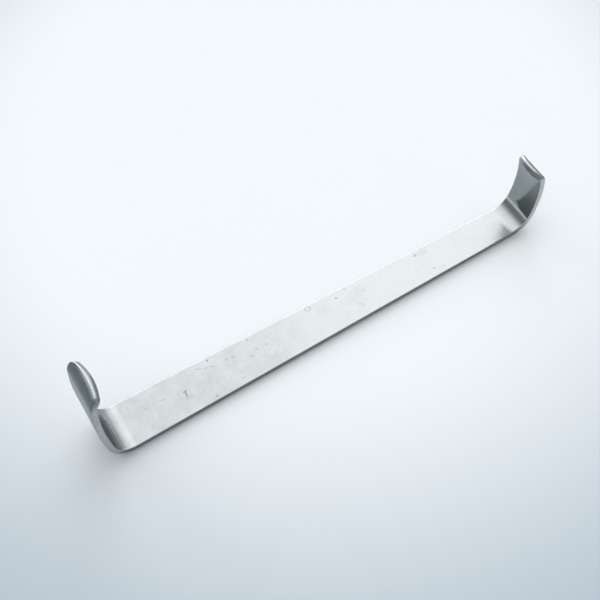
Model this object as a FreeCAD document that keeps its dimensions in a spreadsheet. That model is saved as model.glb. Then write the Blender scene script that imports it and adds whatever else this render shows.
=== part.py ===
"""Double-ended handheld retractor: one flat steel strap with a hooked blade at each end.

The strap lies flat along X. Its wide end is at -X and its narrow end at +X. Each end turns up
into a gently bowed blade, and the blade's tip curls back over the handle as a short rounded lip.
Lengths are in millimetres and angles in degrees.
"""
import FreeCAD, Part
import math
import os

import Sketcher
from FreeCAD import Placement, Rotation, Vector

SIZES = {
    # the strap
    "strap_thickness": 2.0,
    "handle_length": 142.0,
    "wide_end_width": 16.0,
    "narrow_end_width": 11.4,
    "taper_blend_radius": 300.0,
    # the wide end, from the handle outwards; radii are those of the inner face
    "wide_bend_radius": 6.2,
    "wide_bend_angle": 81.5,
    "wide_bow_radius": 100.0,
    "wide_bow_angle": 15.8,
    "wide_curl_radius": 2.9,
    "wide_curl_angle": 80.0,
    "wide_lip_length": 0.75,
    "wide_tip_depth": 3.1,
    "wide_tip_corner_radius": 2.3,
    "wide_tip_face_angle": 43.0,
    "wide_tip_rim_radius": 1.4,
    # the narrow end, from the handle outwards
    "narrow_bend_radius": 6.8,
    "narrow_bend_angle": 77.0,
    "narrow_bow_radius": 46.0,
    "narrow_bow_angle": 22.5,
    "narrow_curl_radius": 1.3,
    "narrow_curl_angle": 94.0,
    "narrow_lip_length": 0.65,
    "narrow_tip_depth": 2.3,
    "narrow_tip_corner_radius": 1.6,
    "narrow_tip_face_angle": 42.0,
    "narrow_tip_rim_radius": 0.8,
    # rounding of the other edges, and how far cutting outlines run past the metal
    "edge_radius": 0.35,
    "trim_overrun": 2.0,
}
ENDS = ("wide", "narrow")
TURNS = ("bend", "bow", "curl")
# two faces meet at a sharp edge when their normals differ by more than this
SHARP_ANGLE = 20.0


def side_of(end):
    """The side on which an end lies: -1 for the wide end, at -X, and 1 for the narrow one."""
    return -1 if end == "wide" else 1


def make_sheet(doc):
    """The spreadsheet of driving sizes: one row each, with its name as the alias."""
    sheet = doc.addObject("Spreadsheet::Sheet", "Sizes")
    for row, (name, value) in enumerate(SIZES.items(), start=1):
        sheet.set(f"A{row}", name)
        sheet.set(f"B{row}", str(value))
        sheet.setAlias(f"B{row}", name)
    doc.recompute()
    return sheet


def new_sketch(body, name, role, offset=None):
    """A sketch on one of the body's own origin planes, moved by an attachment offset."""
    sketch = body.newObject("Sketcher::SketchObject", name)
    plane = next(f for f in body.Origin.OriginFeatures if f.Role == role)
    sketch.AttachmentSupport = [(plane, "")]
    sketch.MapMode = "FlatFace"
    if offset is not None:
        sketch.AttachmentOffset = offset
    return sketch


def relate(sketch, kind, *where):
    """A constraint without a size."""
    sketch.addConstraint(Sketcher.Constraint(kind, *where))


def measure(sketch, name, kind, *where, size):
    """A named constraint whose value is an expression over the sheet's sizes."""
    value = sketch.evalExpression(size)
    sketch.addConstraint(Sketcher.Constraint(kind, *where, value))
    sketch.renameConstraint(sketch.ConstraintCount - 1, name)
    sketch.setExpression(f"Constraints.{name}", size)


def add_line(sketch, start, finish):
    """A line of a sketch's outline."""
    return sketch.addGeometry(Part.LineSegment(start, finish), False)


def add_arc(sketch, centre, start, finish):
    """An arc of a sketch's outline, counterclockwise from start to finish about its centre."""
    radius = (start - centre).Length
    circle = Part.Circle(centre, Vector(0, 0, 1), radius)
    angles = [math.atan2(p.y - centre.y, p.x - centre.x) for p in (start, finish)]
    return sketch.addGeometry(Part.ArcOfCircle(circle, *angles), False)


def heading_vector(heading):
    """The direction along the strap in side view: 0 is outwards, 90 degrees is up."""
    return Vector(math.cos(heading), math.sin(heading), 0)


def face_vector(heading):
    """The direction square to the strap, from its inner face towards its outer face."""
    return Vector(math.sin(heading), -math.cos(heading), 0)


def side_path(sheet, end):
    """The inner face of one end in side view, walked from the handle out to the lip.

    It returns each turn as (centre, radius, first heading, last heading), and the point and
    heading at which the lip begins, all for an end at +X.
    """
    point = Vector(sheet.handle_length / 2, sheet.strap_thickness, 0)
    heading = 0.0
    turns = {}
    for turn in TURNS:
        radius = getattr(sheet, f"{end}_{turn}_radius")
        last = heading + math.radians(getattr(sheet, f"{end}_{turn}_angle"))
        centre = point - face_vector(heading) * radius
        turns[turn] = (centre, radius, heading, last)
        point = centre + face_vector(last) * radius
        heading = last
    return turns, point, heading


def tip_place(sheet, end):
    """Where one lip ends: the curl's centre, the way to the tip, and how far off the tip is.

    The end face of the lip is square to that way, which points inwards and up.
    """
    side = side_of(end)
    turns, lip_start, lip_heading = side_path(sheet, end)
    centre = turns["curl"][0]
    lip_end = lip_start + heading_vector(lip_heading) * getattr(sheet, f"{end}_lip_length")
    slant = math.radians(getattr(sheet, f"{end}_tip_face_angle"))
    towards = Vector(-math.cos(slant), math.sin(slant), 0)
    reach = (lip_end - centre).dot(towards)
    return Vector(side * centre.x, 0, centre.y), Vector(side * towards.x, 0, towards.y), reach


def mirrored(side, point):
    """A point of the +X end's side view, moved to the end being drawn."""
    return Vector(side * point.x, point.y, 0)


def draw_end(sketch, sheet, end, handle):
    """One end of the side outline: each turn's inner and outer arcs, then the lip."""
    side = side_of(end)
    near, far = (1, 2) if side > 0 else (2, 1)
    previous = {face: (line, far) for face, line in handle.items()}
    turns, lip_start, lip_heading = side_path(sheet, end)
    for turn, (centre, radius, first, last) in turns.items():
        arcs = {}
        for face, extra in (("inner", 0.0), ("outer", sheet.strap_thickness)):
            points = [centre + face_vector(h) * (radius + extra) for h in (first, last)]
            points = [mirrored(side, p) for p in points][::side]
            arcs[face] = add_arc(sketch, mirrored(side, centre), *points)
            relate(sketch, "Tangent", *previous[face], arcs[face], near)
            previous[face] = (arcs[face], far)
        relate(sketch, "Coincident", arcs["inner"], 3, arcs["outer"], 3)
        measure(sketch, f"{end}_{turn}_radius", "Radius", arcs["inner"],
                size=f"Sizes.{end}_{turn}_radius * 1 mm")
        measure(sketch, f"{end}_{turn}_angle", "Angle", arcs["inner"],
                size=f"Sizes.{end}_{turn}_angle * 1 deg")
    lip = getattr(sheet, f"{end}_lip_length") + sheet.trim_overrun
    lip_end = lip_start + heading_vector(lip_heading) * lip
    across = face_vector(lip_heading) * sheet.strap_thickness
    lines = {
        "inner": add_line(sketch, mirrored(side, lip_start), mirrored(side, lip_end)),
        "outer": add_line(sketch, mirrored(side, lip_start + across),
                          mirrored(side, lip_end + across)),
    }
    closing = add_line(sketch, mirrored(side, lip_end), mirrored(side, lip_end + across))
    for face, line in lines.items():
        relate(sketch, "Tangent", *previous[face], line, 1)
    relate(sketch, "Coincident", lines["inner"], 2, closing, 1)
    relate(sketch, "Coincident", lines["outer"], 2, closing, 2)
    relate(sketch, "Perpendicular", lines["inner"], closing)
    measure(sketch, f"{end}_lip", "Distance", lines["inner"],
            size=f"(Sizes.{end}_lip_length + Sizes.trim_overrun) * 1 mm")


def make_side_outline(body, sheet):
    """The strap's whole side outline, closed at both lips, which run on to be trimmed."""
    sketch = new_sketch(body, "SideOutline", "XZ_Plane")
    half = sheet.handle_length / 2
    handle = {}
    for face, height in (("inner", sheet.strap_thickness), ("outer", 0.0)):
        handle[face] = add_line(sketch, Vector(-half, height, 0), Vector(half, height, 0))
    relate(sketch, "Horizontal", handle["inner"])
    relate(sketch, "PointOnObject", handle["outer"], 1, -1)
    relate(sketch, "PointOnObject", handle["outer"], 2, -1)
    measure(sketch, "handle_length", "DistanceX", handle["inner"], 1, handle["inner"], 2,
            size="Sizes.handle_length * 1 mm")
    measure(sketch, "handle_start", "DistanceX", handle["inner"], 1, -1, 1,
            size="Sizes.handle_length / 2 * 1 mm")
    measure(sketch, "strap_thickness", "DistanceY", -1, 1, handle["inner"], 1,
            size="Sizes.strap_thickness * 1 mm")
    for end in ENDS:
        draw_end(sketch, sheet, end, handle)
    return sketch


def draw_frame(sketch, low, high):
    """A closed rectangle that lies outside the metal."""
    corners = [low, Vector(high.x, low.y, 0), high, Vector(low.x, high.y, 0)]
    following = corners[1:] + corners[:1]
    lines = [add_line(sketch, a, b) for a, b in zip(corners, following)]
    for line, after in zip(lines, lines[1:] + lines[:1]):
        relate(sketch, "Coincident", line, 2, after, 1)
    for line, kind in zip(lines, ("Horizontal", "Vertical") * 2):
        relate(sketch, kind, line)


def draw_taper(sketch, sheet, side, reach):
    """One long side of the plan outline: wide land, blend, taper, blend, narrow land."""
    half = sheet.handle_length / 2
    wide = sheet.wide_end_width / 2
    narrow = sheet.narrow_end_width / 2
    blend = sheet.taper_blend_radius
    slope = math.atan2(wide - narrow, sheet.handle_length)
    run = blend * math.tan(slope / 2)
    along = Vector(math.cos(slope), -math.sin(slope), 0) * run
    wide_corner = Vector(-half, wide, 0)
    narrow_corner = Vector(half, narrow, 0)
    points = [
        Vector(-reach, wide, 0),
        wide_corner - Vector(run, 0, 0),
        wide_corner + along,
        narrow_corner - along,
        narrow_corner + Vector(run, 0, 0),
        Vector(reach, narrow, 0),
    ]
    centres = [points[1] - Vector(0, blend, 0), points[4] + Vector(0, blend, 0)]

    def placed(point):
        return Vector(point.x, side * point.y, 0)

    points = [placed(p) for p in points]
    wide_blend = [points[2], points[1]][::side]
    narrow_blend = [points[3], points[4]][::side]
    pieces = [
        add_line(sketch, points[0], points[1]),
        add_arc(sketch, placed(centres[0]), *wide_blend),
        add_line(sketch, points[2], points[3]),
        add_arc(sketch, placed(centres[1]), *narrow_blend),
        add_line(sketch, points[4], points[5]),
    ]
    first, last = (2, 1) if side > 0 else (1, 2)
    relate(sketch, "Tangent", pieces[0], 2, pieces[1], first)
    relate(sketch, "Tangent", pieces[1], last, pieces[2], 1)
    relate(sketch, "Tangent", pieces[2], 2, pieces[3], last)
    relate(sketch, "Tangent", pieces[3], first, pieces[4], 1)
    relate(sketch, "Horizontal", pieces[0])
    relate(sketch, "Horizontal", pieces[4])
    name = "left" if side > 0 else "right"
    level = "Sizes.{end}_end_width / 2 * 1 mm"
    reach_of_land = (
        "(Sizes.handle_length / 2 + Sizes.taper_blend_radius"
        " * tan(atan2((Sizes.wide_end_width - Sizes.narrow_end_width) / 2; Sizes.handle_length) / 2))"
        " * 1 mm"
    )
    for end, blend_arc, land, vertex in (
        ("wide", pieces[1], pieces[0], 2),
        ("narrow", pieces[3], pieces[4], 1),
    ):
        upwards = [(-1, 1), (land, vertex)][::side]
        outwards = [(-1, 1), (land, vertex)][::side_of(end)]
        measure(sketch, f"{name}_{end}_blend", "Radius", blend_arc,
                size="Sizes.taper_blend_radius * 1 mm")
        measure(sketch, f"{name}_{end}_level", "DistanceY", *upwards[0], *upwards[1],
                size=level.format(end=end))
        measure(sketch, f"{name}_{end}_reach", "DistanceX", *outwards[0], *outwards[1],
                size=reach_of_land)
    return pieces


def make_plan_trim(body, sheet, box):
    """What is trimmed away in plan: all that lies outside the tapered outline."""
    sketch = new_sketch(body, "PlanTrim", "XY_Plane")
    overrun = Vector(sheet.trim_overrun, sheet.trim_overrun, 0)
    low = Vector(box.XMin, box.YMin, 0) - overrun * 2
    high = Vector(box.XMax, box.YMax, 0) + overrun * 2
    reach = max(abs(box.XMin), abs(box.XMax)) + sheet.trim_overrun
    draw_frame(sketch, Vector(-reach, low.y, 0) - overrun, Vector(reach, high.y, 0) + overrun)
    left = draw_taper(sketch, sheet, 1, reach)
    right = draw_taper(sketch, sheet, -1, reach)
    for piece, vertex in ((0, 1), (4, 2)):
        ends = (left[piece], vertex, right[piece], vertex)
        closing = add_line(sketch, sketch.getPoint(*ends[:2]), sketch.getPoint(*ends[2:]))
        relate(sketch, "Coincident", left[piece], vertex, closing, 1)
        relate(sketch, "Coincident", right[piece], vertex, closing, 2)
        relate(sketch, "Vertical", closing)
    return sketch


def make_tip_trim(body, sheet, end):
    """What is trimmed off one lip: all that lies outside its rounded end.

    The sketch stands in the middle of the curl. Its own x points to the tip, so that the end
    face of the lip slants as the real one does.
    """
    centre, towards, tip = tip_place(sheet, end)
    turn = -math.degrees(math.atan2(towards.z, towards.x))
    place = Placement(centre, Rotation(Vector(0, 1, 0), turn))
    sketch = new_sketch(body, f"{end.capitalize()}TipTrim", "XY_Plane", place)

    half = getattr(sheet, f"{end}_end_width") / 2
    depth = getattr(sheet, f"{end}_tip_depth")
    corner = getattr(sheet, f"{end}_tip_corner_radius")
    overrun = sheet.trim_overrun
    root = tip - depth
    beyond = tip + 2 * overrun + sheet.strap_thickness
    # the end arc touches the tip line and both corner arcs
    rise = half - corner
    crown = (depth**2 + rise**2 - corner**2) / (2 * (depth - corner))
    crown_centre = Vector(tip - crown, 0, 0)
    corner_centre = Vector(root, rise, 0)
    spoke = (corner_centre - crown_centre).normalize()
    meeting = crown_centre + spoke * crown

    def below(point):
        return Vector(point.x, -point.y, 0)

    start = Vector(root, half, 0)
    upper = add_arc(sketch, corner_centre, meeting, start)
    crest = add_arc(sketch, crown_centre, below(meeting), meeting)
    lower = add_arc(sketch, below(corner_centre), below(start), below(meeting))
    corners = [
        start,
        Vector(root, half + overrun, 0),
        Vector(beyond, half + overrun, 0),
        Vector(beyond, -half - overrun, 0),
        Vector(root, -half - overrun, 0),
        below(start),
    ]
    lines = [add_line(sketch, a, b) for a, b in zip(corners, corners[1:])]
    relate(sketch, "Tangent", upper, 1, crest, 2)
    relate(sketch, "Tangent", crest, 1, lower, 2)
    relate(sketch, "Coincident", upper, 2, lines[0], 1)
    relate(sketch, "Coincident", lower, 1, lines[-1], 2)
    for line, after in zip(lines, lines[1:]):
        relate(sketch, "Coincident", line, 2, after, 1)
    for line, kind in zip(lines, ("Vertical", "Horizontal", "Vertical", "Horizontal", "Vertical")):
        relate(sketch, kind, line)
    relate(sketch, "Vertical", upper, 3, upper, 2)
    relate(sketch, "Symmetric", upper, 2, lower, 1, -1)
    relate(sketch, "Symmetric", upper, 3, lower, 3, -1)
    relate(sketch, "Equal", lines[0], lines[-1])
    named = {name: f"Sizes.{end}_{name}" for name in ("end_width", "tip_depth", "tip_corner_radius")}
    measure(sketch, "half_width", "DistanceY", -1, 1, upper, 2,
            size="{end_width} / 2 * 1 mm".format(**named))
    measure(sketch, "corner_radius", "Radius", upper,
            size="{tip_corner_radius} * 1 mm".format(**named))
    measure(sketch, "crown_radius", "Radius", crest,
            size="({tip_depth} ^ 2 + ({end_width} / 2 - {tip_corner_radius}) ^ 2"
                 " - {tip_corner_radius} ^ 2) / (2 * ({tip_depth} - {tip_corner_radius}))"
                 " * 1 mm".format(**named))
    measure(sketch, "overrun", "DistanceY", upper, 2, lines[0], 2, size="Sizes.trim_overrun * 1 mm")
    sketch.addConstraint(Sketcher.Constraint("DistanceX", -1, 1, upper, 3, root))
    sketch.addConstraint(Sketcher.Constraint("DistanceX", -1, 1, lines[1], 2, beyond))
    return sketch


def cut(body, name, sketch, depth=None):
    """A pocket to both sides of its sketch, through everything or to a total depth."""
    pocket = body.newObject("PartDesign::Pocket", name)
    pocket.Profile = sketch
    pocket.SideType = "Symmetric"
    if depth is None:
        pocket.Type = "ThroughAll"
    else:
        pocket.Type = "Length"
        pocket.setExpression("Length", depth)
    sketch.Visibility = False
    return pocket


def sharp_edges(shape):
    """The edges along which two faces of a shape meet at an angle, each with its number."""
    sharp = []
    for number, edge in enumerate(shape.Edges, start=1):
        faces = shape.ancestorsOfType(edge, Part.Face)
        if len(faces) != 2:
            continue
        middle = edge.valueAt((edge.FirstParameter + edge.LastParameter) / 2)
        normals = [face.normalAt(*face.Surface.parameter(middle)) for face in faces]
        if math.degrees(normals[0].getAngle(normals[1])) > SHARP_ANGLE:
            sharp.append((number, edge))
    return sharp


def rounding_at(sheet, point):
    """How large the rounding is at a corner of the metal: larger on each tip's outer rim."""
    for end in ENDS:
        centre, towards, tip = tip_place(sheet, end)
        spoke = point - centre
        off_axis = math.hypot(spoke.x, spoke.z)
        middle = getattr(sheet, f"{end}_curl_radius") + sheet.strap_thickness / 2
        outside = middle + sheet.strap_thickness + getattr(sheet, f"{end}_lip_length")
        root = tip - getattr(sheet, f"{end}_tip_depth") / 2
        if middle < off_axis < outside and spoke.dot(towards) > root:
            return getattr(sheet, f"{end}_tip_rim_radius")
    return sheet.edge_radius


def round_edges(doc, sheet, body):
    """The finished strap: every sharp edge rounded, and more so on the tips' outer rims.

    Where two radii differ, the rounding grows from one to the other along the edge.
    """
    rounding = doc.addObject("Part::Fillet", "EdgeRounding")
    rounding.Label = "retractor_strap"
    rounding.Base = body
    rounding.Edges = [
        (number, *(rounding_at(sheet, vertex.Point) for vertex in edge_ends(edge)))
        for number, edge in sharp_edges(body.Shape)
    ]
    return rounding


def edge_ends(edge):
    """The first and last corner of an edge, in the edge's own direction."""
    return edge.firstVertex(True), edge.lastVertex(True)


def exact_box(shape):
    """A shape's bounding box, with no slack at its curved faces."""
    return shape.optimalBoundingBox(False)


def make_strap(doc, sheet):
    """The retractor: the padded side outline, trimmed in plan and at both tips, then rounded."""
    body = doc.addObject("PartDesign::Body", "Strap")
    blank = body.newObject("PartDesign::Pad", "Blank")
    blank.Profile = make_side_outline(body, sheet)
    blank.SideType = "Symmetric"
    blank.setExpression(
        "Length",
        "(max(Sizes.wide_end_width; Sizes.narrow_end_width) + 2 * Sizes.trim_overrun) * 1 mm",
    )
    doc.recompute()
    volumes = [blank.Shape.Volume]
    trims = [("PlanCut", make_plan_trim(body, sheet, blank.Shape.BoundBox), None)]
    for end in ENDS:
        depth = f"4 * (Sizes.{end}_curl_radius + Sizes.strap_thickness) * 1 mm"
        trims.append((f"{end.capitalize()}TipCut", make_tip_trim(body, sheet, end), depth))
    for name, sketch, depth in trims:
        pocket = cut(body, name, sketch, depth)
        doc.recompute()
        volumes.append(pocket.Shape.Volume)
        if volumes[-1] >= volumes[-2]:
            raise RuntimeError(f"{name} cuts nothing")
    strap = round_edges(doc, sheet, body)
    doc.recompute()
    body.Placement = Placement(Vector(-exact_box(strap.Shape).Center.x, 0, 0), Rotation())
    doc.recompute()
    return strap


def check(doc, strap):
    """Stop if any feature failed, or if the strap isn't one whole solid."""
    failed = [o.Name for o in doc.Objects if {"Invalid", "Error"} & set(o.State)]
    if failed:
        raise RuntimeError(f"failed features: {failed}")
    shape = strap.Shape
    if shape.isNull() or not shape.isValid() or len(shape.Solids) != 1:
        raise RuntimeError(f"{strap.Label} isn't one valid solid")


def main():
    doc = FreeCAD.newDocument("Retractor")
    strap = make_strap(doc, make_sheet(doc))
    check(doc, strap)
    os.makedirs("parts", exist_ok=True)
    strap.Shape.exportStep(f"parts/{strap.Label}.step")
    box = exact_box(strap.Shape)
    print(f"{strap.Label}: volume {strap.Shape.Volume:.1f}, box {box.XLength:.2f} x {box.YLength:.2f}"
          f" x {box.ZLength:.2f}, from x {box.XMin:.3f}, z {box.ZMin:.3f}")


main()
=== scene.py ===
"""A double-ended hand retractor of satin steel, lying on a pale studio surface."""
import math

import bpy
from mathutils import Matrix, Vector

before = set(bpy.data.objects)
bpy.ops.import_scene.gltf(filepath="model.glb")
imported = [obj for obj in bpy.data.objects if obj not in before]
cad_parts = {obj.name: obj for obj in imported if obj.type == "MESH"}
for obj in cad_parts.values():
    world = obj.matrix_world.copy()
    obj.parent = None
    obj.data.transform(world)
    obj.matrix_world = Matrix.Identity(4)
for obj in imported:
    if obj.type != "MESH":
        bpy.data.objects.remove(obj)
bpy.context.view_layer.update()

MM = 0.001
# the handle's top face, in mm above the floor
STRAP_TOP = 2.0

# the camera, with a 60 mm lens on a 36 mm sensor, as seen in the photograph
CAMERA_AT = Vector((-84.2, -134.8, 283.7)) * MM
CAMERA_AIM = Vector((-3.05, 10.24, 1.0)) * MM
CAMERA_ROLL = math.radians(-2.25)
LENS = 60.0
SENSOR = 36.0


def make_camera():
    """The camera at the photograph's viewing angle."""
    data = bpy.data.cameras.new("camera")
    data.lens = LENS
    data.sensor_width = SENSOR
    data.clip_start = 0.01
    data.clip_end = 10.0
    camera = bpy.data.objects.new("camera", data)
    bpy.context.scene.collection.objects.link(camera)
    camera.location = CAMERA_AT
    camera.rotation_mode = "QUATERNION"
    level = (CAMERA_AIM - CAMERA_AT).to_track_quat("-Z", "Y")
    roll = Matrix.Rotation(CAMERA_ROLL, 4, "Z").to_quaternion()
    camera.rotation_quaternion = level @ roll
    bpy.context.scene.camera = camera


class Graph:
    """A short way to write a node tree: each call makes a node and links its inputs."""

    def __init__(self, tree):
        self.tree = tree
        tree.nodes.clear()

    def node(self, kind, settings=None, **inputs):
        made = self.tree.nodes.new(kind)
        for name, value in (settings or {}).items():
            setattr(made, name, value)
        for name, value in inputs.items():
            self.feed(made, name, value)
        return made

    def feed(self, made, name, value):
        """Set or link one input, given by its name with underscores, or in0, in1 and so on."""
        if name.startswith("in") and name[2:].isdigit():
            socket = made.inputs[int(name[2:])]
        else:
            socket = made.inputs[name.replace("_", " ")]
        if hasattr(value, "is_output"):
            self.tree.links.new(value, socket)
        else:
            socket.default_value = value

    def math(self, operation, *values):
        inputs = {f"in{i}": v for i, v in enumerate(values)}
        return self.node("ShaderNodeMath", {"operation": operation}, **inputs).outputs[0]

    def vector(self, operation, *values):
        inputs = {f"in{i}": v for i, v in enumerate(values)}
        made = self.node("ShaderNodeVectorMath", {"operation": operation}, **inputs)
        return made.outputs["Value" if operation in ("DOT_PRODUCT", "LENGTH") else "Vector"]

    def scaled(self, value, factor):
        """A vector or colour times a number."""
        made = self.node("ShaderNodeVectorMath", {"operation": "SCALE"}, in0=value, in3=factor)
        return made.outputs["Vector"]

    def step(self, value, start, finish):
        """0 at start and 1 at finish, with a smooth rise between them."""
        settings = {"interpolation_type": "SMOOTHSTEP"}
        made = self.node("ShaderNodeMapRange", settings, Value=value, From_Min=start, From_Max=finish)
        return made.outputs["Result"]

    def mix(self, factor, first, second):
        """A number between first and second."""
        made = self.node("ShaderNodeMix", {"data_type": "FLOAT"}, in0=factor, in2=first, in3=second)
        return made.outputs["Result"]

    def blend(self, factor, first, second):
        """A colour between first and second."""
        first, second = ((*c, 1.0) if isinstance(c, tuple) else c for c in (first, second))
        made = self.node("ShaderNodeMix", {"data_type": "RGBA"}, in0=factor, in6=first, in7=second)
        return made.outputs[2]

    def product(self, first, *others):
        """All the given numbers multiplied together."""
        for other in others:
            first = self.math("MULTIPLY", first, other)
        return first

    def noise(self, place, scale, detail, roughness):
        """Soft noise from 0 to 1, whose features are about 1 / scale in size."""
        made = self.node("ShaderNodeTexNoise", Vector=place, Scale=scale, Detail=detail,
                         Roughness=roughness)
        return made.outputs[0]

    def centred(self, value):
        """A value from 0 to 1, moved to lie about 0."""
        return self.math("SUBTRACT", value, 0.5)


# the room's light, as radiance: its near side, a bright wall low down behind, and the strength
# and tint of it all
NEAR_LEVEL = 0.45
BACK_LEVEL = 3.1
ROOM_STRENGTH = 1.055
LIGHT_TINT = (0.96, 0.99, 1.0)
# where the ceiling begins, as the tangent of the tilt from straight up towards Y
CEILING_TILT = (-0.05, 0.25)
# the ceiling's level at each place along X, from one horizon at -1 to the other at 1, and the
# level that the ramp's full white stands for
CEILING = (
    (-1.00, 0.55), (-0.92, 0.55), (-0.85, 0.32), (-0.77, 0.37), (-0.68, 0.54), (-0.57, 0.90),
    (-0.44, 1.25), (-0.20, 1.37), (0.00, 1.50), (0.30, 1.78), (0.45, 1.85), (0.60, 1.47),
    (0.75, 1.32), (0.82, 1.10), (0.90, 0.55), (1.00, 0.45),
)
CEILING_TOP = 2.0
# the back wall: how far round from X and from Y it reaches, and how far down it begins
BACK_Y = (0.6, 0.85)
BACK_X = (-0.45, -0.3)
BACK_TILT = (0.75, 1.3)


def make_world():
    """A pale room: a ceiling that darkens towards both ends and a bright wall behind."""
    world = bpy.data.worlds.new("room")
    bpy.context.scene.world = world
    world.use_nodes = True
    graph = Graph(world.node_tree)
    direction = graph.node("ShaderNodeTexCoord").outputs["Generated"]
    x, y, z = graph.node("ShaderNodeSeparateXYZ", Vector=direction).outputs
    height = graph.math("MAXIMUM", z, 0.05)
    tilt_y = graph.math("DIVIDE", y, height)
    across = graph.math("MULTIPLY", graph.math("ADD", x, 1.0), 0.5)
    ramp = graph.node("ShaderNodeValToRGB", Fac=across)
    stops = ramp.color_ramp.elements
    for place, _ in CEILING[1:-1]:
        stops.new((place + 1) / 2)
    for stop, (_, radiance) in zip(stops, CEILING):
        stop.color = (*[radiance / CEILING_TOP] * 3, 1.0)
    ceiling = graph.math("MULTIPLY", ramp.outputs["Color"], CEILING_TOP)
    level = graph.mix(graph.step(tilt_y, *CEILING_TILT), NEAR_LEVEL, ceiling)
    outwards = graph.math("SQRT", graph.math("SUBTRACT", 1.0001, graph.math("MULTIPLY", z, z)))
    back = graph.product(
        graph.step(graph.math("DIVIDE", y, outwards), *BACK_Y),
        graph.step(graph.math("DIVIDE", x, outwards), *BACK_X),
        graph.step(tilt_y, *BACK_TILT),
    )
    level = graph.mix(back, level, BACK_LEVEL)
    strength = graph.math("MULTIPLY", level, ROOM_STRENGTH)
    background = graph.node("ShaderNodeBackground", Color=(*LIGHT_TINT, 1.0), Strength=strength)
    output = graph.node("ShaderNodeOutputWorld")
    graph.tree.links.new(background.outputs[0], output.inputs["Surface"])


FLOOR_SIZE = 3.0
# a painted pool of light on the floor: palest round one place, it falls off towards the room's near
# side
LIGHT_POOL_AT = Vector((35.0, 75.0, 0.0)) * MM
LIGHT_POOL_REACH = (0.095, 0.215)
FLOOR_IN_LIGHT_POOL = (0.925, 0.945, 0.965)
FLOOR_OUT_OF_LIGHT_POOL = (0.475, 0.548, 0.62)


def make_floor():
    """The pale surface that the retractor lies on, with a painted pool of light."""
    mesh = bpy.data.meshes.new("floor")
    half = FLOOR_SIZE / 2
    corners = [(-half, -half, 0), (half, -half, 0), (half, half, 0), (-half, half, 0)]
    mesh.from_pydata(corners, [], [(0, 1, 2, 3)])
    floor = bpy.data.objects.new("floor", mesh)
    bpy.context.scene.collection.objects.link(floor)
    material = bpy.data.materials.new("floor")
    material.use_nodes = True
    graph = Graph(material.node_tree)
    place = graph.node("ShaderNodeTexCoord").outputs["Object"]
    # painted light: the floor's colour falls off with distance from one place
    off = graph.vector("LENGTH", graph.vector("SUBTRACT", place, tuple(LIGHT_POOL_AT)))
    colour = graph.blend(graph.step(off, *LIGHT_POOL_REACH), FLOOR_IN_LIGHT_POOL, FLOOR_OUT_OF_LIGHT_POOL)
    shader = graph.node("ShaderNodeBsdfDiffuse", Color=colour)
    output = graph.node("ShaderNodeOutputMaterial")
    graph.tree.links.new(shader.outputs[0], output.inputs["Surface"])
    mesh.materials.append(material)


# the steel's colours: bare, darker on the blades' broad faces, with painted shade on the handle's
# sides and a painted highlight along the narrow blade's bend, then its stains' tints and its marks
STEEL = (0.458, 0.480, 0.485)
STEEL_BLADE_DARK = (0.255, 0.285, 0.290)
STEEL_SIDE_SHADE = (0.265, 0.280, 0.285)
STEEL_HIGHLIGHT = (0.78, 0.81, 0.82)
STAIN_GREEN = (1.0, 1.005, 0.955)
STAIN_LILAC = (1.005, 0.98, 1.01)
MARK = (0.17, 0.20, 0.20)
# the handle's worn stretch, from full wear to none, in mm along X
WORN_X = (-26.0, 0.0)
# the blades begin above the handle's top face, in mm above the floor
BLADE_Z = (2.3, 5.0)
HANDLE_ROUGHNESS = 0.26
BLADE_ROUGHNESS = 0.13
OUTER_ROUGHNESS = 0.36
# a painted highlight, the bright line where the narrow blade leaves its bend: its height, its half
# width and where it begins along X, in mm, and how bright it is
CREASE_Z = 5.6
CREASE_REACH = (0.75, 0.2)
CREASE_X = (60.0, 65.0)
CREASE_SHARE = 0.45
# how far the near edge's normal is lifted, and the relief of the grain, in mm
EDGE_LIFT = 2.5
RELIEF_STRENGTH = 0.15
RELIEF_DEPTH = 0.02
# how much darker the worn steel is
WORN_SHADE = 0.08
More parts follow.
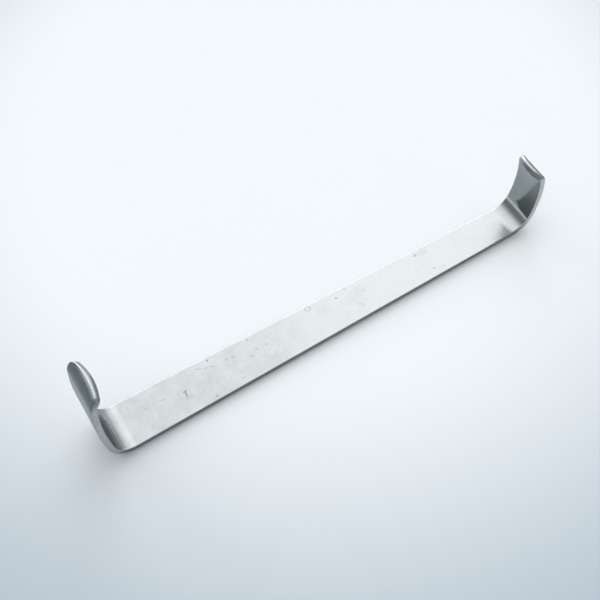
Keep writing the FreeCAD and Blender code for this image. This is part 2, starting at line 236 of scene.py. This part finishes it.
# marks on the handle's top face, in mm and degrees: where each is along and across, its half
# length and half width, its slant and its depth
TOP_FACE_Z = (1.7, 1.9)
SPOTS = (
    (-50.8, 0.3, 0.75, 0.30, 22.0, 0.85),
    (-50.9, -0.8, 1.05, 0.32, 78.0, 0.75),
    (-50.6, -1.9, 1.30, 0.90, 0.0, 0.16),
    (-39.8, 6.2, 0.34, 0.34, 0.0, 0.85),
    (-43.8, 5.1, 1.00, 0.17, -18.0, 0.55),
    (-41.3, 4.1, 1.00, 0.14, -22.0, 0.40),
    (-39.4, 3.5, 0.90, 0.19, -20.0, 0.60),
    (-34.3, 3.3, 0.50, 0.50, 0.0, 0.30),
    (-32.3, 3.0, 0.50, 0.50, 0.0, 0.32),
    (-42.9, -6.2, 0.40, 0.50, 0.0, 0.55),
    (-32.9, -5.1, 0.90, 0.22, 12.0, 0.35),
    (-26.9, 0.0, 0.60, 0.45, -20.0, 0.30),
    (-25.4, 5.9, 0.35, 0.50, 0.0, 0.40),
    (-24.4, 1.6, 0.50, 0.40, 0.0, 0.25),
    (-20.9, 1.4, 0.50, 0.40, -30.0, 0.28),
    (-58.0, 1.4, 1.30, 0.30, -12.0, 0.30),
    (-61.2, 1.6, 0.60, 0.30, 0.0, 0.25),
    (-63.9, 1.4, 0.90, 0.35, 0.0, 0.30),
    (7.0, 4.1, 0.44, 0.38, 0.0, 0.60),
    (11.2, 5.6, 0.50, 0.30, 0.0, 0.35),
    (1.2, 1.5, 2.60, 2.00, 0.0, 0.07),
    (12.7, 1.9, 3.60, 2.00, 20.0, 0.08),
    (16.3, 1.9, 0.60, 0.45, 0.0, 0.20),
    (12.8, -2.2, 1.50, 0.70, -55.0, 0.15),
    (38.3, 4.2, 0.75, 0.45, 10.0, 0.55),
    (41.0, 3.9, 2.00, 1.10, 0.0, 0.13),
    (40.9, -3.2, 0.50, 0.40, 0.0, 0.35),
    (44.2, -4.2, 0.60, 0.30, -25.0, 0.28),
)
RINGS = (
    (-3.0, 5.6, 0.90, 0.80, 0.0, 0.50),
    (35.7, -0.7, 0.50, 0.50, 0.0, 0.25),
)


def top_marks(graph, place, height):
    """The single marks on the handle's top face: spots, short scratches and rings."""
    on_top = graph.step(height, *TOP_FACE_Z)
    marks = 0.0
    for shapes, hollow in ((SPOTS, False), (RINGS, True)):
        for along, across, half_length, half_width, slant, depth in shapes:
            settings = {"vector_type": "TEXTURE"}
            own = graph.node("ShaderNodeMapping", settings, Vector=place,
                             Location=(along, across, STRAP_TOP),
                             Rotation=(0.0, 0.0, math.radians(slant)),
                             Scale=(half_length, half_width, half_width)).outputs["Vector"]
            away = graph.vector("LENGTH", own)
            if hollow:
                away = graph.math("ABSOLUTE", graph.math("SUBTRACT", away, 1.0))
                mark = graph.step(away, 0.28, 0.06)
            else:
                mark = graph.step(away, 1.4, 0.5)
            marks = graph.math("MAXIMUM", marks, graph.product(mark, on_top, depth))
    return marks


def pits(graph, place):
    """Small scattered pits: a few of a random grid's cells have a dark middle."""
    cells = graph.node("ShaderNodeTexVoronoi", Vector=place, Scale=0.42, Randomness=1.0)
    picked = graph.node("ShaderNodeSeparateColor", Color=cells.outputs["Color"]).outputs[0]
    middle = graph.step(cells.outputs["Distance"], 0.16, 0.05)
    return graph.product(middle, graph.step(picked, 0.6, 0.75))


def mottling(graph, place, worn):
    """How much darker each place is than bare steel: clouds, blotches and lengthwise grain."""
    along = graph.vector("MULTIPLY", place, (0.12, 1.0, 1.0))
    layers = (
        (graph.noise(place, 0.22, 3.0, 0.5), 0.08, 0.30),
        (graph.noise(place, 0.70, 4.0, 0.55), 0.05, 0.13),
        (graph.noise(along, 2.6, 3.0, 0.5), 0.06, 0.08),
    )
    depth = graph.math("MULTIPLY", worn, WORN_SHADE)
    for noise, slight, strong in layers:
        strength = graph.mix(worn, slight, strong)
        depth = graph.math("ADD", depth, graph.math("MULTIPLY", strength, graph.centred(noise)))
    return depth


def steel():
    """Satin stainless steel: a worn, marked handle and smoother, darker blades, with painted shade on
    the handle's sides and a painted highlight along the narrow blade's bend.
    """
    material = bpy.data.materials.new("satin_steel")
    material.use_nodes = True
    graph = Graph(material.node_tree)
    coordinates = graph.node("ShaderNodeTexCoord").outputs
    place = graph.scaled(coordinates["Object"], 1 / MM)
    x, _, height = graph.node("ShaderNodeSeparateXYZ", Vector=place).outputs
    facing = graph.node("ShaderNodeSeparateXYZ", Vector=coordinates["Normal"]).outputs
    facing_x, facing_y, facing_z = facing
    sideways = graph.math("ABSOLUTE", facing_y)
    worn = graph.step(x, *reversed(WORN_X))
    blade = graph.step(height, *BLADE_Z)
    handle = graph.math("SUBTRACT", 1.0, blade)
    broad_face = graph.step(sideways, 0.8, 0.5)
    outward = graph.step(graph.math("MULTIPLY", facing_x, x), -2.0, 2.0)
    upright = graph.math("MAXIMUM", outward, graph.step(facing_z, 0.85, 0.5))
    # darker steel on the blades' broad faces, all but the inner parts that face up
    blade_dark = graph.product(blade, broad_face, upright)
    # painted shade: the handle's sides are darkened to stand in for the shadowed floor they reflect
    side_shade = graph.math("MULTIPLY", handle, graph.step(sideways, 0.6, 0.85))
    near_edge = graph.math("MULTIPLY", facing_y, -1.0)
    flattened = graph.product(
        handle,
        graph.step(near_edge, 0.02, 0.1),
        graph.step(near_edge, 0.8, 0.5),
        graph.step(facing_z, 0.1, 0.3),
    )
    # painted highlight: a bright line on the narrow blade's inner face, just above its bend
    off_crease = graph.math("ABSOLUTE", graph.math("SUBTRACT", height, CREASE_Z))
    crease_highlight = graph.product(
        graph.step(off_crease, *CREASE_REACH),
        graph.step(x, *CREASE_X),
        broad_face,
        graph.math("SUBTRACT", 1.0, outward),
        CREASE_SHARE,
    )
    marks = graph.math("MULTIPLY", pits(graph, place), graph.mix(worn, 0.15, 0.35))
    marks = graph.math("MAXIMUM", marks, top_marks(graph, place, height))
    tint = graph.centred(graph.noise(place, 0.22, 2.0, 0.5))
    colour = graph.blend(blade_dark, STEEL, STEEL_BLADE_DARK)
    # painted shade on the handle's sides, then a painted highlight along the narrow blade's bend
    colour = graph.blend(side_shade, colour, STEEL_SIDE_SHADE)
    colour = graph.blend(crease_highlight, colour, STEEL_HIGHLIGHT)
    for edge, stain in ((0.1, STAIN_GREEN), (-0.1, STAIN_LILAC)):
        share = graph.step(tint, edge, edge * 2.5)
        colour = graph.vector("MULTIPLY", colour, graph.blend(share, (1.0, 1.0, 1.0), stain))
    darker = mottling(graph, place, graph.math("MAXIMUM", worn, blade))
    colour = graph.scaled(colour, graph.math("SUBTRACT", 1.0, darker))
    colour = graph.blend(marks, colour, MARK)
    spread = graph.math("MULTIPLY", graph.centred(graph.noise(place, 0.9, 4.0, 0.6)), 0.12)
    smooth = graph.mix(outward, BLADE_ROUGHNESS, OUTER_ROUGHNESS)
    roughness = graph.math("ADD", graph.mix(blade, HANDLE_ROUGHNESS, smooth), spread)
    grain = graph.noise(place, 1.6, 4.0, 0.55)
    relief = graph.math("SUBTRACT", grain, graph.math("MULTIPLY", marks, 2.0))
    bump = graph.node("ShaderNodeBump", Height=relief, Strength=RELIEF_STRENGTH,
                      Distance=RELIEF_DEPTH * MM)
    # the photograph's near edge looks sharper than the solid's rounding, so it is shaded flatter
    lift = graph.scaled((0.0, 0.0, 1.0), graph.math("MULTIPLY", flattened, EDGE_LIFT))
    normal = graph.vector("NORMALIZE", graph.vector("ADD", bump.outputs[0], lift))
    shader = graph.node("ShaderNodeBsdfPrincipled", Base_Color=colour, Metallic=1.0,
                        Roughness=roughness, Normal=normal)
    output = graph.node("ShaderNodeOutputMaterial")
    graph.tree.links.new(shader.outputs[0], output.inputs["Surface"])
    return material


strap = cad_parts["retractor_strap"]
strap.data.materials.clear()
strap.data.materials.append(steel())
make_world()
make_floor()
make_camera()
bpy.context.scene.view_settings.view_transform = "Standard"
